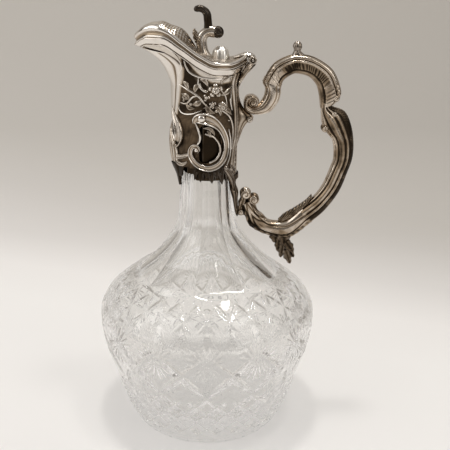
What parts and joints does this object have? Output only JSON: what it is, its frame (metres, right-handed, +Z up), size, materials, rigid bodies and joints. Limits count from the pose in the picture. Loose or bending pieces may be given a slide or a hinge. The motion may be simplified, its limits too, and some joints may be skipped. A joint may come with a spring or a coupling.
{
  "type": "claret jug",
  "caption": "Cut-glass claret jug with a silvered mount, a scrolled handle on one side and a domed, hinged lid with a scroll thumbpiece over the pouring lip.",
  "frame": {"origin": "centre of the glass foot, on the axis of the glass, in the plane the jug stands on", "axes": "+Z up along the axis of the glass; -X towards the pouring lip and +X towards the handle; the hinge pin lies along Y"},
  "size_m": [0.1749, 0.153, 0.2913],
  "materials": {
    "cut_glass": "clear, cut and polished",
    "silver": "polished silver plate, darker in the hollows",
    "bright_silver": "bright polished silver plate",
    "sleeve_silver": "stippled and tarnished silver plate",
    "handle_silver": "chased silver plate with tarnished hollows",
    "thumb_silver": "worn silver plate",
    "lid_inside": "smooth silver plate",
    "pin_metal": "drawn metal",
    "cement": "matt white plaster"
  },
  "bodies": {
    "jug": {"glass_body": "cut_glass", "neck_cement": "cement", "collar_sleeve": "sleeve_silver", "mouth": "bright_silver", "rim_band": "bright_silver", "spout_panel": "bright_silver", "cartouche_left": "silver", "cartouche_right": "silver", "window_scroll_left": "silver", "window_scroll_right": "silver", "front_scroll_left": "silver", "front_scroll_right": "silver", "flower_spray_left": "silver", "flower_spray_right": "silver", "front_shell": "silver", "front_pendant": "silver", "skirt_lobes": "silver", "back_strap": "silver", "strap_toe": "silver", "strap_bracket": "handle_silver", "handle_volute": "handle_silver", "handle_arch": "handle_silver", "handle_grip": "handle_silver", "handle_foot": "handle_silver", "handle_bud": "handle_silver", "handle_curls": "handle_silver", "handle_inner_leaf": "handle_silver", "handle_drop_leaf": "handle_silver", "hinge_knuckles": "silver", "hinge_pin": "pin_metal"},
    "lid": {"lid_edge": "silver", "lid_bezel": "silver", "lid_plate": "lid_inside", "lid_shell": "silver", "lid_boss": "bright_silver", "lid_knuckle": "silver", "thumbpiece": "thumb_silver", "thumbpiece_rivet": "pin_metal"}
  },
  "joints": [
    {"name": "lid_hinge", "type": "hinge", "parent": "jug", "child": "lid", "pos_m": [0.0289, 0, 0.2571], "axis": [0, 1, 0], "range_deg": [0, 100]}
  ]
}
